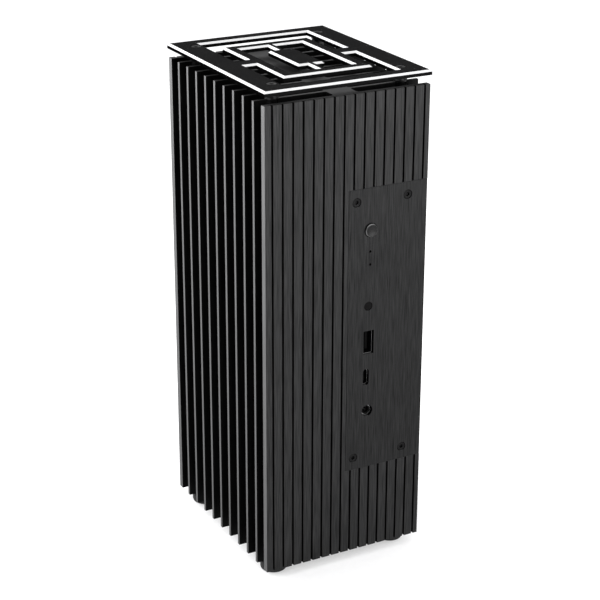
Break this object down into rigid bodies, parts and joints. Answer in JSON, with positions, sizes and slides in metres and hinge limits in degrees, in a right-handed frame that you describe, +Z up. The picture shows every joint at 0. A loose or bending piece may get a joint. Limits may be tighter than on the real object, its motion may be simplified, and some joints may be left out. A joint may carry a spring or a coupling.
{
  "type": "mini pc",
  "caption": "Fanless tower computer: ribbed black aluminium heatsink case with side fins, a flush port plate, a pierced lid held clear of the fins, and round rubber feet.",
  "frame": {"origin": "centre of the footprint, on the surface that the rubber feet stand on", "axes": "+X to the right along the front face, +Y from the front port plate to the back, +Z up"},
  "size_m": [0.0958, 0.116, 0.2733],
  "materials": {
    "black_anodised_aluminium": "brushed, then black anodised, satin",
    "black_lid_aluminium": "black anodised satin face with bright machined 45 degree edges",
    "black_steel": "black oxide, low sheen",
    "rubber": "matte moulded black rubber",
    "bright_steel": "zinc plated",
    "socket_steel": "nickel plated stamped shell",
    "black_plastic": "matte moulded black plastic",
    "smoked_plastic": "dark glossy infrared filter plastic",
    "clear_plastic": "clear moulded light guide",
    "circuit_board": "green solder mask over glass laminate",
    "silicon": "polished die on a dark carrier"
  },
  "bodies": {
    "chassis": {"heatsink_body": "black_anodised_aluminium", "side_cover": "black_anodised_aluminium", "front_port_plate": "black_anodised_aluminium", "rear_port_plate": "black_anodised_aluminium", "lid": "black_lid_aluminium", "lid_spacer_1": "black_steel", "lid_screw_1": "black_steel", "foot_1": "rubber", "foot_screw_1": "bright_steel", "lid_spacer_2": "black_steel", "lid_screw_2": "black_steel", "foot_2": "rubber", "foot_screw_2": "bright_steel", "lid_spacer_3": "black_steel", "lid_screw_3": "black_steel", "foot_3": "rubber", "foot_screw_3": "bright_steel", "lid_spacer_4": "black_steel", "lid_screw_4": "black_steel", "foot_4": "rubber", "foot_screw_4": "bright_steel", "front_plate_screw_1": "black_steel", "rear_plate_screw_1": "black_steel", "front_plate_screw_2": "black_steel", "rear_plate_screw_2": "black_steel", "front_plate_screw_3": "black_steel", "rear_plate_screw_3": "black_steel", "front_plate_screw_4": "black_steel", "rear_plate_screw_4": "black_steel", "power_switch_body": "black_plastic", "power_switch_board": "circuit_board", "power_switch_screw_1": "bright_steel", "power_switch_screw_2": "bright_steel", "infrared_window": "smoked_plastic", "infrared_receiver": "black_plastic", "light_pipe_1": "clear_plastic", "light_pipe_2": "clear_plastic", "front_usb_a_socket": "socket_steel", "front_usb_c_socket": "socket_steel", "front_audio_socket": "black_plastic", "rear_dc_inlet": "black_plastic", "rear_hdmi_socket": "socket_steel", "rear_lan_socket": "socket_steel", "rear_usb_a_sockets": "socket_steel", "rear_usb_c_socket": "socket_steel", "aerial_hole_plug_1": "rubber", "aerial_hole_plug_2": "rubber", "mainboard": "circuit_board", "processor": "silicon", "memory_socket": "black_plastic", "memory_module_1": "circuit_board", "memory_module_2": "circuit_board", "solid_state_drive": "circuit_board", "mainboard_screw_1": "bright_steel", "mainboard_screw_2": "bright_steel", "mainboard_screw_3": "bright_steel", "mainboard_screw_4": "bright_steel"},
    "power_button": {"power_button": "black_anodised_aluminium", "power_switch_plunger": "black_plastic"}
  },
  "joints": [
    {"name": "power_button_press", "type": "slide", "parent": "chassis", "child": "power_button", "axis": [0, 1, 0], "range_m": [0, 0.0005], "stiffness_N_per_m": 3000}
  ]
}
